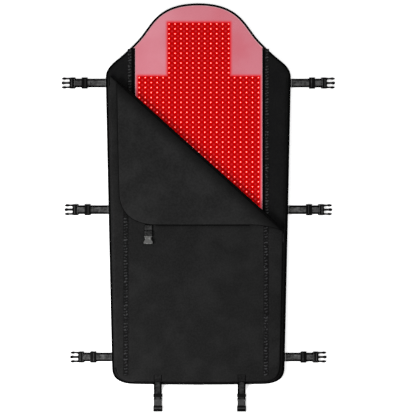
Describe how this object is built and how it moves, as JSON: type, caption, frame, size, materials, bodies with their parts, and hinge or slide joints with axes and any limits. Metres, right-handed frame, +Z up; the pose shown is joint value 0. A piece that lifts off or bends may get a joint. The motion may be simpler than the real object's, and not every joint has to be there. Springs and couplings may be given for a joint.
{
  "type": "infrared sauna blanket",
  "caption": "Padded sleeping-bag-shaped infrared sauna blanket laid flat, its zipped cover folded back from a hooded red lamp panel, with side straps and release buckles.",
  "frame": {"origin": "centre of the plan, straps included, on the surface that the blanket lies on", "axes": "+Z up out of the surface, +Y from the foot to the hooded head, +X towards the zip side"},
  "size_m": [1.2924, 1.927, 0.0507],
  "materials": {
    "coated_fabric": "matt coated woven polyester",
    "lining_fabric": "smooth coated lining, satin",
    "edge_binding": "ribbed binding tape, matt",
    "ruched_tape": "gathered elastic tape, matt",
    "foam": "closed-cell foam",
    "wadding": "needled wadding",
    "heater_film": "laminated carbon heating film",
    "lamp_circuit": "copper-clad flexible circuit",
    "lamps": "clear red lamp packages",
    "panel_film": "soft translucent film",
    "cable": "silicone sheath",
    "black_moulding": "satin moulded acetal",
    "grey_moulding": "satin moulded acetal",
    "webbing": "ribbed woven webbing",
    "pin_metal": "plated pins",
    "zip_metal": "black lacquered die casting"
  },
  "bodies": {
    "root": {"base_shell": "coated_fabric", "base_binding_left": "edge_binding", "base_binding_right": "edge_binding", "base_insulation": "foam", "thermal_cutout": "black_moulding", "wiring_harness": "cable", "heater_sheet": "heater_film", "led_circuit": "lamp_circuit", "lamp_strips": "lamps", "light_panel_film": "panel_film", "base_top_border": "coated_fabric", "base_seam_tape_left": "ruched_tape", "base_seam_tape_right": "ruched_tape", "base_left_gusset": "coated_fabric", "power_inlet": "black_moulding", "inlet_pin_left": "pin_metal", "inlet_pin_right": "pin_metal", "zip_tape_base": "coated_fabric"},
    "cover": {"cover_outer": "coated_fabric", "cover_wadding": "wadding", "cover_lining": "lining_fabric", "cover_seam_tape_left": "ruched_tape", "cover_seam_tape_right": "ruched_tape", "zip_tape_cover": "coated_fabric", "end_patch_left": "webbing", "end_patch_right": "webbing"},
    "flap": {"flap_outer": "coated_fabric", "flap_wadding": "wadding", "flap_lining": "lining_fabric", "zip_tape_flap": "coated_fabric"},
    "flap_strap": {"flap_webbing": "webbing"},
    "flap_buckle": {"flap_female_buckle": "grey_moulding"},
    "zip_slider": {"zip_slider": "zip_metal"},
    "zip_puller": {"zip_puller": "zip_metal"},
    "strap_left_head": {"webbing_left_head": "webbing"},
    "slide_left_head": {"adjuster_left_head": "black_moulding"},
    "buckle_left_head": {"male_buckle_left_head": "black_moulding"},
    "strap_right_head": {"webbing_right_head": "webbing"},
    "slide_right_head": {"adjuster_right_head": "black_moulding"},
    "buckle_right_head": {"male_buckle_right_head": "black_moulding"},
    "strap_left_middle": {"webbing_left_middle": "webbing"},
    "slide_left_middle": {"adjuster_left_middle": "black_moulding"},
    "buckle_left_middle": {"male_buckle_left_middle": "black_moulding"},
    "strap_right_middle": {"webbing_right_middle": "webbing"},
    "slide_right_middle": {"adjuster_right_middle": "black_moulding"},
    "buckle_right_middle": {"male_buckle_right_middle": "black_moulding"},
    "strap_left_foot": {"webbing_left_foot": "webbing"},
    "slide_left_foot": {"adjuster_left_foot": "black_moulding"},
    "buckle_left_foot": {"male_buckle_left_foot": "black_moulding"},
    "strap_right_foot": {"webbing_right_foot": "webbing"},
    "slide_right_foot": {"adjuster_right_foot": "black_moulding"},
    "buckle_right_foot": {"male_buckle_right_foot": "black_moulding"},
    "end_strap_left": {"end_webbing_left": "webbing"},
    "end_slide_left": {"end_keeper_left": "black_moulding"},
    "end_buckle_left": {"end_female_buckle_left": "grey_moulding"},
    "end_strap_right": {"end_webbing_right": "webbing"},
    "end_slide_right": {"end_keeper_right": "black_moulding"},
    "end_buckle_right": {"end_female_buckle_right": "grey_moulding"}
  },
  "joints": [
    {"name": "cover_hinge", "type": "hinge", "parent": "root", "child": "cover", "pos_m": [-0.41361, 0, 0.0256], "axis": [0.0218, -0.9998, 0], "range_deg": [0, 140]},
    {"name": "flap_fold", "type": "hinge", "parent": "cover", "child": "flap", "pos_m": [0, 0.2485, 0.0381], "axis": [-0.7443, 0.6678, 0], "range_deg": [0, 180]},
    {"name": "flap_strap_hinge", "type": "hinge", "parent": "flap", "child": "flap_strap", "pos_m": [-0.236, -0.0825, 0.0447], "axis": [-1, 0, 0], "range_deg": [0, 90]},
    {"name": "flap_buckle_pivot", "type": "hinge", "parent": "flap_strap", "child": "flap_buckle", "pos_m": [-0.236, -0.1295, 0.0447], "axis": [-1, 0, 0], "range_deg": [0, 60]},
    {"name": "zip_slide", "type": "slide", "parent": "root", "child": "zip_slider", "axis": [0.0218, 0.9998, 0], "range_m": [-0.6, 0.7]},
    {"name": "zip_puller_hinge", "type": "hinge", "parent": "zip_slider", "child": "zip_puller", "pos_m": [0.40077, -0.13, 0.0326], "axis": [-0.9998, 0.0218, 0], "range_deg": [0, 100]},
    {"name": "strap_left_head_hinge", "type": "hinge", "parent": "root", "child": "strap_left_head", "pos_m": [-0.43823, 0.5875, 0.004], "axis": [0, -1, 0], "range_deg": [-90, 0]},
    {"name": "slide_left_head", "type": "slide", "parent": "strap_left_head", "child": "slide_left_head", "axis": [-1, 0, 0], "range_m": [-0.04, 0]},
    {"name": "buckle_left_head_pivot", "type": "hinge", "parent": "strap_left_head", "child": "buckle_left_head", "pos_m": [-0.58123, 0.5875, 0.006], "axis": [0, -1, 0], "range_deg": [-60, 0]},
    {"name": "strap_right_head_hinge", "type": "hinge", "parent": "root", "child": "strap_right_head", "pos_m": [0.43823, 0.5875, 0.004], "axis": [0, 1, 0], "range_deg": [-90, 0]},
    {"name": "slide_right_head", "type": "slide", "parent": "strap_right_head", "child": "slide_right_head", "axis": [1, 0, 0], "range_m": [-0.04, 0]},
    {"name": "buckle_right_head_pivot", "type": "hinge", "parent": "strap_right_head", "child": "buckle_right_head", "pos_m": [0.58123, 0.5875, 0.006], "axis": [0, 1, 0], "range_deg": [-60, 0]},
    {"name": "strap_left_middle_hinge", "type": "hinge", "parent": "root", "child": "strap_left_middle", "pos_m": [-0.42518, -0.0105, 0.004], "axis": [0, -1, 0], "range_deg": [-90, 0]},
    {"name": "slide_left_middle", "type": "slide", "parent": "strap_left_middle", "child": "slide_left_middle", "axis": [-1, 0, 0], "range_m": [-0.04, 0]},
    {"name": "buckle_left_middle_pivot", "type": "hinge", "parent": "strap_left_middle", "child": "buckle_left_middle", "pos_m": [-0.56718, -0.0105, 0.006], "axis": [0, -1, 0], "range_deg": [-60, 0]},
    {"name": "strap_right_middle_hinge", "type": "hinge", "parent": "root", "child": "strap_right_middle", "pos_m": [0.42518, -0.0105, 0.004], "axis": [0, 1, 0], "range_deg": [-90, 0]},
    {"name": "slide_right_middle", "type": "slide", "parent": "strap_right_middle", "child": "slide_right_middle", "axis": [1, 0, 0], "range_m": [-0.04, 0]},
    {"name": "buckle_right_middle_pivot", "type": "hinge", "parent": "strap_right_middle", "child": "buckle_right_middle", "pos_m": [0.56718, -0.0105, 0.006], "axis": [0, 1, 0], "range_deg": [-60, 0]},
    {"name": "strap_left_foot_hinge", "type": "hinge", "parent": "root", "child": "strap_left_foot", "pos_m": [-0.40999, -0.706, 0.004], "axis": [0, -1, 0], "range_deg": [-90, 0]},
    {"name": "slide_left_foot", "type": "slide", "parent": "strap_left_foot", "child": "slide_left_foot", "axis": [-1, 0, 0], "range_m": [-0.04, 0]},
    {"name": "buckle_left_foot_pivot", "type": "hinge", "parent": "strap_left_foot", "child": "buckle_left_foot", "pos_m": [-0.54099, -0.706, 0.006], "axis": [0, -1, 0], "range_deg": [-60, 0]},
    {"name": "strap_right_foot_hinge", "type": "hinge", "parent": "root", "child": "strap_right_foot", "pos_m": [0.40999, -0.706, 0.004], "axis": [0, 1, 0], "range_deg": [-90, 0]},
    {"name": "slide_right_foot", "type": "slide", "parent": "strap_right_foot", "child": "slide_right_foot", "axis": [1, 0, 0], "range_m": [-0.04, 0]},
    {"name": "buckle_right_foot_pivot", "type": "hinge", "parent": "strap_right_foot", "child": "buckle_right_foot", "pos_m": [0.54099, -0.706, 0.006], "axis": [0, 1, 0], "range_deg": [-60, 0]},
    {"name": "end_strap_left_hinge", "type": "hinge", "parent": "cover", "child": "end_strap_left", "pos_m": [-0.191, -0.82, 0.0387], "axis": [-1, 0, 0], "range_deg": [0, 90]},
    {"name": "end_slide_left", "type": "slide", "parent": "end_strap_left", "child": "end_slide_left", "axis": [0, -1, 0], "range_m": [-0.008, 0]},
    {"name": "end_buckle_left_pivot", "type": "hinge", "parent": "end_strap_left", "child": "end_buckle_left", "pos_m": [-0.191, -0.9035, 0.0065], "axis": [-1, 0, 0], "range_deg": [0, 60]},
    {"name": "end_strap_right_hinge", "type": "hinge", "parent": "cover", "child": "end_strap_right", "pos_m": [0.204, -0.82, 0.0387], "axis": [-1, 0, 0], "range_deg": [0, 90]},
    {"name": "end_slide_right", "type": "slide", "parent": "end_strap_right", "child": "end_slide_right", "axis": [0, -1, 0], "range_m": [-0.008, 0]},
    {"name": "end_buckle_right_pivot", "type": "hinge", "parent": "end_strap_right", "child": "end_buckle_right", "pos_m": [0.204, -0.9035, 0.0065], "axis": [-1, 0, 0], "range_deg": [0, 60]}
  ]
}
